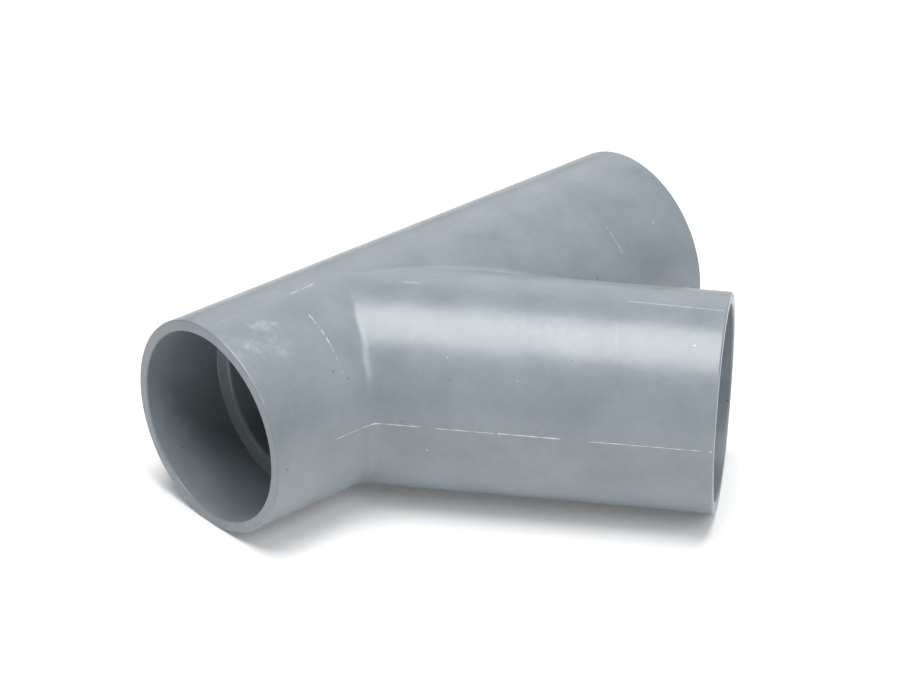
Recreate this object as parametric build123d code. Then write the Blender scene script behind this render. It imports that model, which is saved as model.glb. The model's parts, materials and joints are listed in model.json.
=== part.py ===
from build123d import *
import os

os.makedirs("parts", exist_ok=True)

# Lateral wye fitting for solvent-welded drain pipe, moulded in one piece from rigid PVC.
# Frame: X runs along the main run, from the outlet (-X) to the run inlet (+X). The branch
# leans from +X towards -Y. Z is up, and the centre lines of run and branch cross at the origin.

# Driving sizes, in millimetres and degrees
pipe_d = 88.9            # outside diameter of the pipe that the sockets take
pipe_clearance = 0.15    # gap all round the pipe, for the cement
socket_wall = 5.15       # wall round a socket
socket_depth = 40.0      # mouth to pipe stop
stop_height = 6.1        # how far the pipe stop stands in from the socket wall
stop_lean = 2.2          # how far the stop's face leans back from its foot to its lip
outlet_lay = 36.8        # crossing point to the outlet's pipe stop
inlet_lay = 137.9        # crossing point to the run inlet's pipe stop
branch_lay = 133.1       # crossing point to the branch's pipe stop
branch_angle = 50.0      # between branch and run
branch_slack = 0.1       # the branch's half of the mould is this much smaller in radius
crotch_r = 8.0           # hollow blend outside, where branch and run meet
bore_edge_r = 1.5        # rounded edge inside, where the two waterways meet
stop_lip = 1.5           # bevel on the inner edge of the pipe stop
lead_in = 0.8            # bevel inside each mouth
rim_bevel = 0.6          # bevel round the outside of each mouth

socket_r = pipe_d / 2 + pipe_clearance
outer_r = socket_r + socket_wall
waterway_r = socket_r - stop_height
outlet_reach = outlet_lay + socket_depth
inlet_reach = inlet_lay + socket_depth
branch_reach = branch_lay + socket_depth


def leg(reach, slack=0.0):
    """Outside of one leg: a round bar along +X from the crossing point, with a bevelled rim."""
    radius = outer_r - slack
    bar = Plane.YZ * Pos(0, 0, reach / 2) * Cylinder(radius, reach)
    rim = bar.edges().filter_by(GeomType.CIRCLE).sort_by(Axis.X)[-1]
    return chamfer(rim, rim_bevel)


def core(reach, slack=0.0):
    """Inside of one leg, as its core pin makes it: waterway, pipe stop, socket and lead-in."""
    bore = waterway_r - slack
    stop = reach - socket_depth
    lip = (stop - stop_lean, bore)
    outline = Polyline(
        (0, 0),
        (0, bore),
        lip,
        (stop, socket_r),
        (reach - lead_in, socket_r),
        (reach, socket_r + lead_in),
        (reach, 0),
        close=True,
    )
    section = make_face(outline)
    section = chamfer(section.vertices().sort_by_distance(lip)[0], stop_lip)
    return revolve(section, Axis.X)


def wye(outlet, inlet, branch, blend_r):
    """Join three legs at the crossing point and blend the seam that the branch makes on the run."""
    about = Rot(0, 0, 180) * outlet + inlet + Rot(0, 0, -branch_angle) * branch
    seam = about.edges().filter_by(GeomType.BSPLINE)
    return fillet(seam, blend_r)


outside = wye(leg(outlet_reach), leg(inlet_reach), leg(branch_reach, branch_slack), crotch_r)
inside = wye(core(outlet_reach), core(inlet_reach), core(branch_reach, branch_slack), bore_edge_r)
wye_body = outside - inside

export_step(wye_body, "parts/wye_body.step")
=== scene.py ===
import json
from math import asin, atan2, cos, pi, radians, sin, tan
import bmesh
import bpy
from mathutils import Matrix, Vector, noise


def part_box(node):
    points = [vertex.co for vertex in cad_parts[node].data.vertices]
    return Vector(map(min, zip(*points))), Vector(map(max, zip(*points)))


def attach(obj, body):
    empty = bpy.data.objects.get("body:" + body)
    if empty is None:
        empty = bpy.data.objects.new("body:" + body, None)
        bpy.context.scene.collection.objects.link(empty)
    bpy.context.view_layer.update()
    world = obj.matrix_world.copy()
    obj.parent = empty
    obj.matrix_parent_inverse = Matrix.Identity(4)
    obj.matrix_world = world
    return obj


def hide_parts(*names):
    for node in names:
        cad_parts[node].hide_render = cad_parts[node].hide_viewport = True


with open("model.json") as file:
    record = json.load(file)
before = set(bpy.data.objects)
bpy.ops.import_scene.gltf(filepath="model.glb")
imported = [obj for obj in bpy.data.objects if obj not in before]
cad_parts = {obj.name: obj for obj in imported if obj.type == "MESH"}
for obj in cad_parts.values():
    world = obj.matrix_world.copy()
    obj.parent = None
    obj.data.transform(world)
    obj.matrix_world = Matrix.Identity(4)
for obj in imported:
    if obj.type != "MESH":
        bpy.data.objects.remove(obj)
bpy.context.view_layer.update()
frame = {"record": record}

mm = 0.001


# --- The moulding ------------------------------------------------------------------------------
# The whole fitting is one injection moulding in rigid PVC: a straight run, and a branch of the
# same bore that slants off it with a soft hollow blend. Core pins leave the waterways,
# and a plain socket with a pipe stop in each mouth. Nothing is machined afterwards.
mounts = {m["name"]: m for m in frame["record"]["mounts"]}
lead_in = 0.8 * mm
stop_lean = 2.2 * mm
stop_lip_r = 2.0 * mm
stop_foot_r = 0.9 * mm
rim_r = 0.9 * mm
crotch_r = 8 * mm
bore_edge_r = 1.5 * mm
hold = 0.3 * mm
around = 192

outer_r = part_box("wye_body")[1].z
socket_r = mounts["outlet_socket"]["dims"]["r_mm"] * mm
waterway_r = mounts["run_waterway"]["dims"]["r_mm"] * mm
socket_depth = mounts["outlet_socket"]["dims"]["length_mm"] * mm + lead_in
branch_axis = Vector(mounts["branch_socket"]["axis"])
branch_turn = atan2(branch_axis.y, branch_axis.x)


def reach_of(name):
    """Distance from the crossing point to the mouth of a socket."""
    socket = mounts[name]
    return Vector(socket["pos_m"]).length + socket["dims"]["length_mm"] * mm / 2 + lead_in


outlet_reach = reach_of("outlet_socket")
inlet_reach = reach_of("inlet_socket")
branch_reach = reach_of("branch_socket")


def trimmed_tube(bm, radius, start, end, cuts, turn):
    """An open tube along X, trimmed by upright planes through its middle, then turned about Z.

    Each cut is (side, slope, keep). It trims the half whose y has the sign of side along the
    plane x = slope * |y|, and keep is the side of that plane that stays.
    """
    place = Matrix.Translation(((start + end) / 2, 0, 0)) @ Matrix.Rotation(pi / 2, 4, "Y")
    tube = bmesh.ops.create_cone(
        bm, segments=around, radius1=radius, radius2=radius, depth=end - start, matrix=place
    )["verts"]
    faces = {f for v in tube for f in v.link_faces}
    for side, slope, keep in cuts:
        for shift in (0, keep * 2 * hold):
            half = [f for f in faces if f.calc_center_median().y * side > 0]
            cut = bmesh.ops.bisect_plane(
                bm,
                geom=half + list({e for f in half for e in f.edges}),
                dist=1e-8,
                plane_co=(shift, 0, 0),
                plane_no=(1, -slope * side, 0),
            )
            faces |= {g for g in cut["geom"] if isinstance(g, bmesh.types.BMFace)}

    def trimmed_off(face):
        at = face.calc_center_median()
        past = [(at.x - slope * abs(at.y)) * keep for side, slope, keep in cuts if at.y * side > 0]
        return bool(past) and max(past) < 0

    off = {f for f in faces if trimmed_off(f)}
    verts = {v for f in faces - off for v in f.verts}
    bmesh.ops.delete(bm, geom=list(off), context="FACES")
    bmesh.ops.rotate(bm, verts=list(verts), matrix=Matrix.Rotation(turn, 3, "Z"))


def rolled_blend(bm, radius, ball_r, bisector, half_gap, steps):
    """The hollow that a ball leaves as it rolls in the corner between run and branch.

    The line where the ball touches the run is extruded over the ball, step by step, to the
    branch. bisector is the compass turn of the upright plane midway between the two legs.
    """
    middle = Vector((cos(bisector), sin(bisector), 0))
    across = Vector((-sin(bisector), cos(bisector), 0))
    run_side = Vector((0, -1, 0))
    branch_side = run_side - 2 * run_side.dot(across) * across
    touch = (1 + ball_r / radius) * middle.x / sin(half_gap)
    tilt = bm.verts.layers.float.get("tilt") or bm.verts.layers.float.new("tilt")
    line = {
        v for v in bm.verts
        if v.co.y < 1e-7 and abs(v.co.x + touch * v.co.y) < 1e-6
        and abs(v.co.yz.length - radius) < 1e-6
    }
    for v in line:
        v[tilt] = atan2(v.co.z, max(-v.co.y, 0))
    row = [e for e in bm.edges if line.issuperset(e.verts)]
    for step in range(1, steps + 1):
        made = bmesh.ops.extrude_edge_only(bm, edges=row)["geom"]
        row = [g for g in made if isinstance(g, bmesh.types.BMEdge)]
        for v in {v for e in row for v in e.verts}:
            level = Vector((0, 0, sin(v[tilt])))
            from_run = run_side * cos(v[tilt]) + level
            from_branch = branch_side * cos(v[tilt]) + level
            ball = (radius + ball_r) * (middle * cos(v[tilt]) / sin(half_gap) + level)
            v.co = ball - ball_r * from_run.slerp(from_branch, step / steps, from_run)


def wye_skin(bm, radius, ball_r, short, steps):
    """Run and branch tubes of one radius, each ending short of its mouth, and their two blends."""
    bend = -branch_turn
    wide = (1 + ball_r / radius) * tan(bend / 2)
    close = (1 + ball_r / radius) / tan(bend / 2)
    run_cuts = [(-1, -wide, -1), (-1, close, 1)]
    branch_cuts = [(-1, wide, 1), (1, close, 1)]
    trimmed_tube(bm, radius, short - outlet_reach, inlet_reach - short, run_cuts, 0)
    rolled_blend(bm, radius, ball_r, -(pi + bend) / 2, (pi - bend) / 2, steps)
    rolled_blend(bm, radius, ball_r, -bend / 2, bend / 2, 2 * steps)
    trimmed_tube(bm, radius, -hold, branch_reach - short, branch_cuts, branch_turn)


def rounded(corners, segments=5):
    """Points along a line whose corners (point, radius) are rounded, held straight between."""
    points = [corners[0][0]]
    for (before, _), (corner, radius), (after, _) in zip(corners, corners[1:], corners[2:]):
        back = (before - corner).normalized()
        on = (after - corner).normalized()
        half = back.angle(on) / 2
        centre = corner + (back + on).normalized() * radius / sin(half)
        first = corner + back * radius / tan(half)
        last = corner + on * radius / tan(half)
        points.append(first + back * hold)
        for i in range(segments + 1):
            points.append(centre + radius * (first - centre).slerp(last - centre, i / segments))
        points.append(last + on * hold)
    return points + [corners[-1][0]]


def mouth(bm, reach, outside, inside):
    """A mouth from the outer skin round the rim and in past the pipe stop, spun about the leg."""
    stop = reach - socket_depth
    section = rounded([
        (Vector((reach - outside, 0, outer_r)), 0),
        (Vector((reach, 0, outer_r)), rim_r),
        (Vector((reach, 0, socket_r)), lead_in),
        (Vector((stop, 0, socket_r)), stop_foot_r),
        (Vector((stop - stop_lean, 0, waterway_r)), stop_lip_r),
        (Vector((reach - inside, 0, waterway_r)), 0),
    ])
    verts = [bm.verts.new(point) for point in section]
    edges = [bm.edges.new(pair) for pair in zip(verts, verts[1:])]
    bmesh.ops.spin(
        bm, geom=verts + edges, angle=2 * pi, steps=around, axis=(1, 0, 0), use_merge=True
    )


outside_trim = 3 * mm
inside_trim = socket_depth + stop_lean + 6 * mm
bm = bmesh.new()
for turn, reach in ((pi, outlet_reach), (0, inlet_reach), (branch_turn, branch_reach)):
    before = set(bm.verts)
    mouth(bm, reach, outside_trim, inside_trim)
    made = [v for v in bm.verts if v not in before]
    bmesh.ops.rotate(bm, verts=made, matrix=Matrix.Rotation(turn, 3, "Z"))
wye_skin(bm, outer_r, crotch_r, outside_trim, 10)
wye_skin(bm, waterway_r, bore_edge_r, inside_trim, 4)
bmesh.ops.remove_doubles(bm, verts=bm.verts, dist=5e-6)
bmesh.ops.recalc_face_normals(bm, faces=bm.faces)
moulding = bpy.data.objects.new("wye_moulding", bpy.data.meshes.new("wye_moulding"))
bm.to_mesh(moulding.data)
bm.free()
moulding.data.shade_smooth()
bpy.context.scene.collection.objects.link(moulding)


def linear(hex_colour):
    """An sRGB hex colour as the linear RGBA that a shader takes."""
    channels = [int(hex_colour[i:i + 2], 16) / 255 for i in (1, 3, 5)]
    return [c / 12.92 if c < 0.0405 else ((c + 0.055) / 1.055) ** 2.4 for c in channels] + [1.0]


def add_node(tree, kind, inputs, **settings):
    """Add a node, set its properties, and fill each input with a value or a link."""
    node = tree.nodes.new(kind)
    for name, value in settings.items():
        setattr(node, name, value)
    for socket, value in inputs.items():
        if isinstance(value, bpy.types.NodeSocket):
            tree.links.new(value, node.inputs[socket])
        else:
            node.inputs[socket].default_value = value
    return node


def unrolled(tree, place):
    """A leg's skin laid flat: distance along its axis, distance round it, and radius."""
    apart = add_node(tree, "ShaderNodeSeparateXYZ", {"Vector": place}).outputs
    front = add_node(tree, "ShaderNodeMath", {0: apart["Y"], 1: -1.0}, operation="MULTIPLY")
    turn = add_node(tree, "ShaderNodeMath", {0: apart["Z"], 1: front.outputs[0]},
                    operation="ARCTAN2")
    arc = add_node(tree, "ShaderNodeMath", {0: turn.outputs[0], 1: outer_r}, operation="MULTIPLY")
    cross = add_node(tree, "ShaderNodeCombineXYZ", {"Y": apart["Y"], "Z": apart["Z"]})
    radius = add_node(tree, "ShaderNodeVectorMath", {0: cross.outputs[0]}, operation="LENGTH")
    flat = add_node(tree, "ShaderNodeCombineXYZ",
                    {"X": apart["X"], "Y": arc.outputs[0], "Z": radius.outputs["Value"]})
    return flat.outputs[0]


def mark(tree, flat, start, end, width):
    """A mask of 1 on a line over a leg's skin, fading to 0 at width mm from it.

    start and end are (mm along the leg, degrees round it), with 0 level and 90 at the top.
    """
    ends = [Vector((along * mm, outer_r * radians(turn), outer_r)) for along, turn in (start, end)]
    line = ends[1] - ends[0]
    off = add_node(tree, "ShaderNodeVectorMath", {0: flat, 1: ends[0]}, operation="SUBTRACT")
    share = add_node(tree, "ShaderNodeVectorMath",
                     {0: off.outputs[0], 1: line / line.length_squared}, operation="DOT_PRODUCT")
    kept = add_node(tree, "ShaderNodeClamp", {"Value": share.outputs["Value"]})
    foot = add_node(tree, "ShaderNodeVectorMath", {0: line, "Scale": kept.outputs[0]},
                    operation="SCALE")
    gap = add_node(tree, "ShaderNodeVectorMath", {0: off.outputs[0], 1: foot.outputs[0]},
                   operation="DISTANCE")
    fade = add_node(tree, "ShaderNodeMapRange",
                    {"Value": gap.outputs["Value"], "From Min": width * mm, "From Max": 0.0})
    return fade.outputs[0]


def total(tree, masks, strengths):
    """The sum of some masks, each times its own strength."""
    summed = 0.0
    for mask, strength in zip(masks, strengths):
        summed = add_node(tree, "ShaderNodeMath", {0: mask, 1: strength, 2: summed},
                          operation="MULTIPLY_ADD").outputs[0]
    return summed


# Rigid PVC with a grey pigment, moulded in a satin steel tool: an even dull blue-grey with a soft
# sheen. Sink and flow make the sheen's edges wander and the tone cloud a little, and it has
# the hairlines, rubbed places and stray specks of a fitting that came loose in a box of others.
pvc = bpy.data.materials.new("satin_moulded_rigid_pvc")
pvc.use_nodes = True
tree = pvc.node_tree
shader = tree.nodes["Principled BSDF"]
shader.inputs["IOR"].default_value = 1.53
place = add_node(tree, "ShaderNodeTexCoord", {}).outputs["Object"]
on_run = unrolled(tree, place)
branch_place = add_node(tree, "ShaderNodeVectorRotate", {"Vector": place, "Angle": -branch_turn},
                        rotation_type="Z_AXIS")
on_branch = unrolled(tree, branch_place.outputs[0])

cloud = add_node(tree, "ShaderNodeTexNoise",
                 {"Vector": place, "Scale": 1 / (26 * mm), "Detail": 3.0, "Roughness": 0.55})
grain = add_node(tree, "ShaderNodeTexNoise",
                 {"Vector": place, "Scale": 1 / (3 * mm), "Detail": 2.0})
toned = total(tree, [cloud.outputs["Fac"], grain.outputs["Fac"]], [0.75, 0.25])
tone = add_node(tree, "ShaderNodeValToRGB", {"Fac": toned})
tone.color_ramp.elements[0].position = 0.2
tone.color_ramp.elements[0].color = linear("#747D83")
tone.color_ramp.elements[1].position = 0.8
tone.color_ramp.elements[1].color = linear("#8B949A")

# Hairlines: each is one pass of a harder edge, so it is straight, pale and broken.
hairlines = [
    mark(tree, on_run, (-31.5, 71), (-31.8, 53), 0.5),
    mark(tree, on_run, (-31.8, 53), (-32.7, 35), 0.4),
    mark(tree, on_run, (-30, 90.1), (-16, 90.9), 0.6),
    mark(tree, on_run, (-70, 90), (16, 91.8), 0.4),
    mark(tree, on_run, (133.7, 55.6), (135.2, 37), 0.5),
    mark(tree, on_branch, (129, 86), (172.8, 84.3), 0.5),
    mark(tree, on_branch, (29, 87), (36, 87.2), 0.7),
    mark(tree, on_branch, (125.7, 71), (127.8, 47), 0.5),
]
broken = add_node(tree, "ShaderNodeTexNoise",
                  {"Vector": place, "Scale": 1 / (2.2 * mm), "Detail": 1.0})
gaps = add_node(tree, "ShaderNodeMapRange",
                {"Value": broken.outputs["Fac"], "From Min": 0.36, "From Max": 0.56})
lines = total(tree, hairlines, [0.9, 0.55, 0.9, 0.22, 0.6, 0.6, 0.5, 0.2])
scored = add_node(tree, "ShaderNodeMath", {0: lines, 1: gaps.outputs[0]}, operation="MULTIPLY")

# Rubbed places, where the sheen is dulled and the grey a little chalky, in small stars and dabs.
rubs = [
    mark(tree, on_run, (-57, 78), (-49, 73), 4.5),
    mark(tree, on_run, (-70, 68), (-56, 61), 9),
    mark(tree, on_branch, (80, 62), (112, 60), 7),
]
dabs = add_node(tree, "ShaderNodeTexNoise",
                {"Vector": place, "Scale": 1 / (4 * mm), "Detail": 4.0, "Roughness": 0.7})
dabbed = add_node(tree, "ShaderNodeMapRange",
                  {"Value": dabs.outputs["Fac"], "From Min": 0.42, "From Max": 0.66})
rubbing = total(tree, rubs, [0.8, 0.5, 0.35])
rubbed = add_node(tree, "ShaderNodeMath", {0: rubbing, 1: dabbed.outputs[0]},
                  operation="MULTIPLY")

# Specks of dark and of pale resin that the regrind left in the mix, under 1 mm across.
dark_cells = add_node(tree, "ShaderNodeTexVoronoi", {"Vector": place, "Scale": 1 / (11 * mm)})
dark_specks = add_node(tree, "ShaderNodeMapRange",
                       {"Value": dark_cells.outputs["Distance"],
                        "From Min": 0.045, "From Max": 0.025})
pale_cells = add_node(tree, "ShaderNodeTexVoronoi",
                      {"Vector": branch_place.outputs[0], "Scale": 1 / (17 * mm)})
pale_specks = add_node(tree, "ShaderNodeMapRange",
                       {"Value": pale_cells.outputs["Distance"],
                        "From Min": 0.03, "From Max": 0.018})

pale = total(tree, [scored.outputs[0], rubbed.outputs[0], pale_specks.outputs[0]],
             [0.75, 0.4, 0.6])
# A Mix node's colour sockets share their names with its others, so they go by number.
FACTOR, UNDER, OVER, MIXED = 0, 6, 7, 2
chalked = add_node(tree, "ShaderNodeMix",
                   {FACTOR: pale, UNDER: tone.outputs["Color"], OVER: linear("#D3D9DD")},
                   data_type="RGBA")
specked = add_node(tree, "ShaderNodeMix",
                   {FACTOR: dark_specks.outputs[0], UNDER: chalked.outputs[MIXED],
                    OVER: linear("#4A4D50")}, data_type="RGBA")
tree.links.new(specked.outputs[MIXED], shader.inputs["Base Color"])

# The sheen is duller where the tone is paler, over a narrow range, and duller again where rubbed.
sheen = add_node(tree, "ShaderNodeMapRange",
                 {"Value": cloud.outputs["Fac"], "From Min": 0.3, "From Max": 0.7,
                  "To Min": 0.285, "To Max": 0.34})
dulled = total(tree, [rubbed.outputs[0], sheen.outputs[0]], [0.25, 1.0])
tree.links.new(dulled, shader.inputs["Roughness"])

waves = add_node(tree, "ShaderNodeTexNoise",
                 {"Vector": place, "Scale": 1 / (24 * mm), "Detail": 2.0, "Roughness": 0.35})
waved = add_node(tree, "ShaderNodeBump", {"Height": waves.outputs["Fac"], "Distance": 0.8 * mm})
peel = add_node(tree, "ShaderNodeTexNoise",
                {"Vector": place, "Scale": 1 / (1.6 * mm), "Detail": 2.0})
peeled = add_node(tree, "ShaderNodeBump",
                  {"Height": peel.outputs["Fac"], "Distance": 0.006 * mm,
                   "Normal": waved.outputs[0]})
cut_in = add_node(tree, "ShaderNodeBump",
                  {"Height": scored.outputs[0], "Distance": 0.03 * mm,
                   "Normal": peeled.outputs[0]}, invert=True)
tree.links.new(cut_in.outputs[0], shader.inputs["Normal"])
moulding.data.materials.append(pvc)

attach(moulding, "root")
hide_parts("wye_body")


# --- The parting flash -------------------------------------------------------------------------
# Where the two halves of the mould met a thin line of plastic squeezed out, all along both sides
# of the fitting. It was trimmed by hand, so a low pale ridge stays here and is gone there.
parting_level = 3.9 * mm
flash_height = 0.13 * mm
flash_width = 0.55 * mm
flash_step = 0.6 * mm
foot_depth = 0.12 * mm
taper_steps = 6
long_tear = 6 * mm
short_tear = 1.5 * mm
mean_crest = 0.75
lowest_crest = -0.5
hollow_steps = 8
bar_span = 1.73
lift_angle = asin(parting_level / outer_r)
level = Vector((0, 0, sin(lift_angle)))
run_side = Vector((0, -cos(lift_angle), 0))
bend = -branch_turn


def stations(start, end):
    """Evenly spaced distances from start to end, about flash_step apart."""
    if start == end:
        return []
    count = max(2, round(abs(end - start) / flash_step))
    return [start + (end - start) * i / count for i in range(count + 1)]


def skin_line(bisector, half_gap, run_ends, branch_ends):
    """(point, way out) along the run, over the hollow between the legs and along the branch.

    run_ends and branch_ends are distances along each leg, and None is where the hollow begins.
    """
    middle = Vector((cos(bisector), sin(bisector), 0))
    across = Vector((-sin(bisector), cos(bisector), 0))
    branch_side = run_side - 2 * run_side.dot(across) * across
    ball = (outer_r + crotch_r) * (middle * cos(lift_angle) / sin(half_gap) + level)
    from_run = run_side + level
    from_branch = branch_side + level
    first = ball - crotch_r * from_run
    last = ball - crotch_r * from_branch
    hollow = [
        from_run.slerp(from_branch, step / hollow_steps, from_run)
        for step in range(1, hollow_steps)
    ]
    start, end = (first.x if reach is None else reach for reach in run_ends)
    line = [(Vector((along, first.y, first.z)), from_run) for along in stations(start, end)]
    if run_ends[1] is None:
        line += [(ball - crotch_r * out, out) for out in hollow]
    touch = last.dot(branch_axis)
    start, end = (touch if reach is None else reach for reach in branch_ends)
    return line + [
        (last + (along - touch) * branch_axis, from_branch) for along in stations(start, end)
    ]


def ridge(bm, line, height, width):
    """A closed three-sided bar bent along a line on the skin, its foot sunk into it.

    The bar starts straight, with a radius of 1 and so bar_span across. Its crest then rises and
    falls with the tears left by the trimming, under the skin in places, and tapers at both ends.
    """
    earlier = len(bm.verts)
    place = Matrix.Translation((0.5, 0, 0)) @ Matrix.Rotation(-pi / 2, 4, "Y")
    bar = bmesh.ops.create_cone(
        bm, cap_ends=True, segments=3, radius1=1, radius2=1, depth=1, matrix=place
    )["verts"]
    edges = {e for v in bar for e in v.link_edges}
    lengthwise = [e for e in edges if abs(e.verts[0].co.x - e.verts[1].co.x) > 0.5]
    bmesh.ops.subdivide_edges(bm, edges=lengthwise, cuts=len(line) - 2)
    last = len(line) - 1
    for v in list(bm.verts)[earlier:]:
        at = round(v.co.x * last)
        point, out = line[at]
        along = (line[min(at + 1, last)][0] - line[max(at - 1, 0)][0]).normalized()
        taper = min(1, at / taper_steps, (last - at) / taper_steps)
        long_wave = 0.9 * noise.noise(point / long_tear)
        short_wave = 0.5 * noise.noise(point / short_tear)
        left = mean_crest + long_wave + short_wave
        crest = height * min(max(left * taper, lowest_crest), 1)
        rise = crest if v.co.z > 0 else -foot_depth
        v.co = point + out.cross(along) * v.co.y * width / bar_span + out * rise


outer_hollow = (-(pi + bend) / 2, (pi - bend) / 2)
inner_hollow = (-bend / 2, bend / 2)
on_branch_only = (0, 0)
round_outside = skin_line(*outer_hollow, (-44 * mm, None), (None, 44 * mm))
branch_middle = skin_line(*outer_hollow, on_branch_only, (50.5 * mm, 106 * mm))
branch_end = skin_line(*outer_hollow, on_branch_only, (118 * mm, 168 * mm))
rim_nub = skin_line(*outer_hollow, on_branch_only, (170.3 * mm, 172.2 * mm))
round_inside = skin_line(*inner_hollow, (170 * mm, None), (None, 168 * mm))
back_of_run = [
    (Vector((along, outer_r * cos(lift_angle), parting_level)), level - run_side)
    for along in stations(-72 * mm, 170 * mm)
]
bm = bmesh.new()
for line, height, width in (
    (round_outside, flash_height, flash_width),
    (branch_middle, flash_height, flash_width),
    (branch_end, flash_height, 0.4 * mm),
    (rim_nub, 0.3 * mm, 0.9 * mm),
    (round_inside, flash_height, flash_width),
    (back_of_run, flash_height, flash_width),
):
    ridge(bm, line, height, width)
bmesh.ops.recalc_face_normals(bm, faces=bm.faces)
flash = bpy.data.objects.new("parting_flash", bpy.data.meshes.new("parting_flash"))
bm.to_mesh(flash.data)
bm.free()
bpy.context.scene.collection.objects.link(flash)

# The same PVC, stretched thin as it squeezed out and torn as it was trimmed, so paler and dull
# beside the moulding. Its nearly white colour, greyer in places, is also a painted highlight of
# the ridge's light.
flash_pvc_painted_highlight = bpy.data.materials.new("stretched_rigid_pvc_painted_highlight")
flash_pvc_painted_highlight.use_nodes = True
tree = flash_pvc_painted_highlight.node_tree
shader = tree.nodes["Principled BSDF"]
shader.inputs["IOR"].default_value = 1.53
shader.inputs["Roughness"].default_value = 0.42
place = add_node(tree, "ShaderNodeTexCoord", {}).outputs["Object"]
tears = add_node(tree, "ShaderNodeTexNoise",
                 {"Vector": place, "Scale": 1 / (5 * mm), "Detail": 2.0})
# Painted highlight: the ramp's pale end stands in for the light that the ridge's crest catches.
paling_painted_highlight = add_node(tree, "ShaderNodeValToRGB", {"Fac": tears.outputs["Fac"]})
paling_painted_highlight.color_ramp.elements[0].position = 0.35
paling_painted_highlight.color_ramp.elements[0].color = linear("#98A2A9")
paling_painted_highlight.color_ramp.elements[1].position = 0.6
paling_painted_highlight.color_ramp.elements[1].color = linear("#D6DCE0")
tree.links.new(paling_painted_highlight.outputs["Color"], shader.inputs["Base Color"])
flash.data.materials.append(flash_pvc_painted_highlight)

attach(flash, "root")


# --- The floor ---------------------------------------------------------------------------------
# A seamless sheet of matt white paper that the fitting lies on, over a dim light table, and lit
# until it shows no grain.
floor_size = 2.0
paper_reflectance = 0.9
table_glow = 0.11
bm = bmesh.new()
bmesh.ops.create_grid(bm, x_segments=1, y_segments=1, size=floor_size / 2)
floor = bpy.data.objects.new("floor", bpy.data.meshes.new("floor"))
bm.to_mesh(floor.data)
bm.free()
floor.location.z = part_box("wye_body")[0].z
bpy.context.scene.collection.objects.link(floor)
paper = bpy.data.materials.new("matt_white_paper")
paper.use_nodes = True
paper_shader = paper.node_tree.nodes["Principled BSDF"]
paper_shader.inputs["Base Color"].default_value = (*(paper_reflectance,) * 3, 1)
paper_shader.inputs["Roughness"].default_value = 0.9
paper_shader.inputs["Emission Color"].default_value = linear("#FFFFFF")
paper_shader.inputs["Emission Strength"].default_value = table_glow
floor.data.materials.append(paper)


# --- The camera --------------------------------------------------------------------------------
# A long lens from the outlet's side, above the fitting, so that the outlet's mouth opens towards
# it, the branch runs off to the right and its mouth is seen almost edge on.
aim = Vector((41.6, -26.4, 13.3)) * mm
compass = radians(41.12)
lift = radians(29.5)
roll = radians(0.32)
away = 1668.6 * mm
sight = Vector((sin(compass) * cos(lift), cos(compass) * cos(lift), -sin(lift)))
camera = bpy.data.objects.new("camera", bpy.data.cameras.new("camera"))
camera.data.sensor_width = 36
camera.data.lens = 147.66
camera.location = aim - sight * away
camera.rotation_mode = "QUATERNION"
camera.rotation_quaternion = (
    sight.to_track_quat("-Z", "Y") @ Matrix.Rotation(roll, 3, "Z").to_quaternion()
)
bpy.context.scene.collection.objects.link(camera)
bpy.context.scene.camera = camera
bpy.context.scene.view_settings.view_transform = "Standard"


# --- The light ---------------------------------------------------------------------------------
# Four softboxes round the fitting: a large one overhead, whose image lies along the upper flank
# of the branch, a smaller one in front of it, and two weak ones low at the left and behind. The
# room beyond is white to look at and gives no light of its own.
lamp_distance = 2.6


def softbox(name, compass, height, size, radiance):
    """A rectangular lamp that faces the fitting, placed by where it stands in the sky."""
    lamp = bpy.data.lights.new(name, "AREA")
    lamp.shape = "RECTANGLE"
    lamp.size, lamp.size_y = size
    lamp.energy = radiance * pi * size[0] * size[1]
    box = bpy.data.objects.new(name, lamp)
    out = Vector((sin(compass) * cos(height), cos(compass) * cos(height), sin(height)))
    box.location = aim + out * lamp_distance
    box.rotation_mode = "QUATERNION"
    box.rotation_quaternion = (-out).to_track_quat("-Z", "Y")
    bpy.context.scene.collection.objects.link(box)


room = bpy.data.worlds.new("white_room")
room.use_nodes = True
seen = add_node(room.node_tree, "ShaderNodeLightPath", {}).outputs["Is Camera Ray"]
backdrop = room.node_tree.nodes["Background"]
backdrop.inputs["Color"].default_value = linear("#FFFFFF")
room.node_tree.links.new(seen, backdrop.inputs["Strength"])
bpy.context.scene.world = room
softbox("overhead_softbox", radians(239), radians(84), (1.88, 2.06), 8.1)
softbox("front_softbox", radians(182), radians(44), (1.32, 1.26), 4.7)
softbox("left_softbox", radians(280), radians(18), (1.82, 1.42), 0.85)
softbox("rear_softbox", radians(49), radians(22), (2.34, 1.7), 1.0)


# --- Finish ------------------------------------------------------------------------------------
bpy.context.view_layer.update()
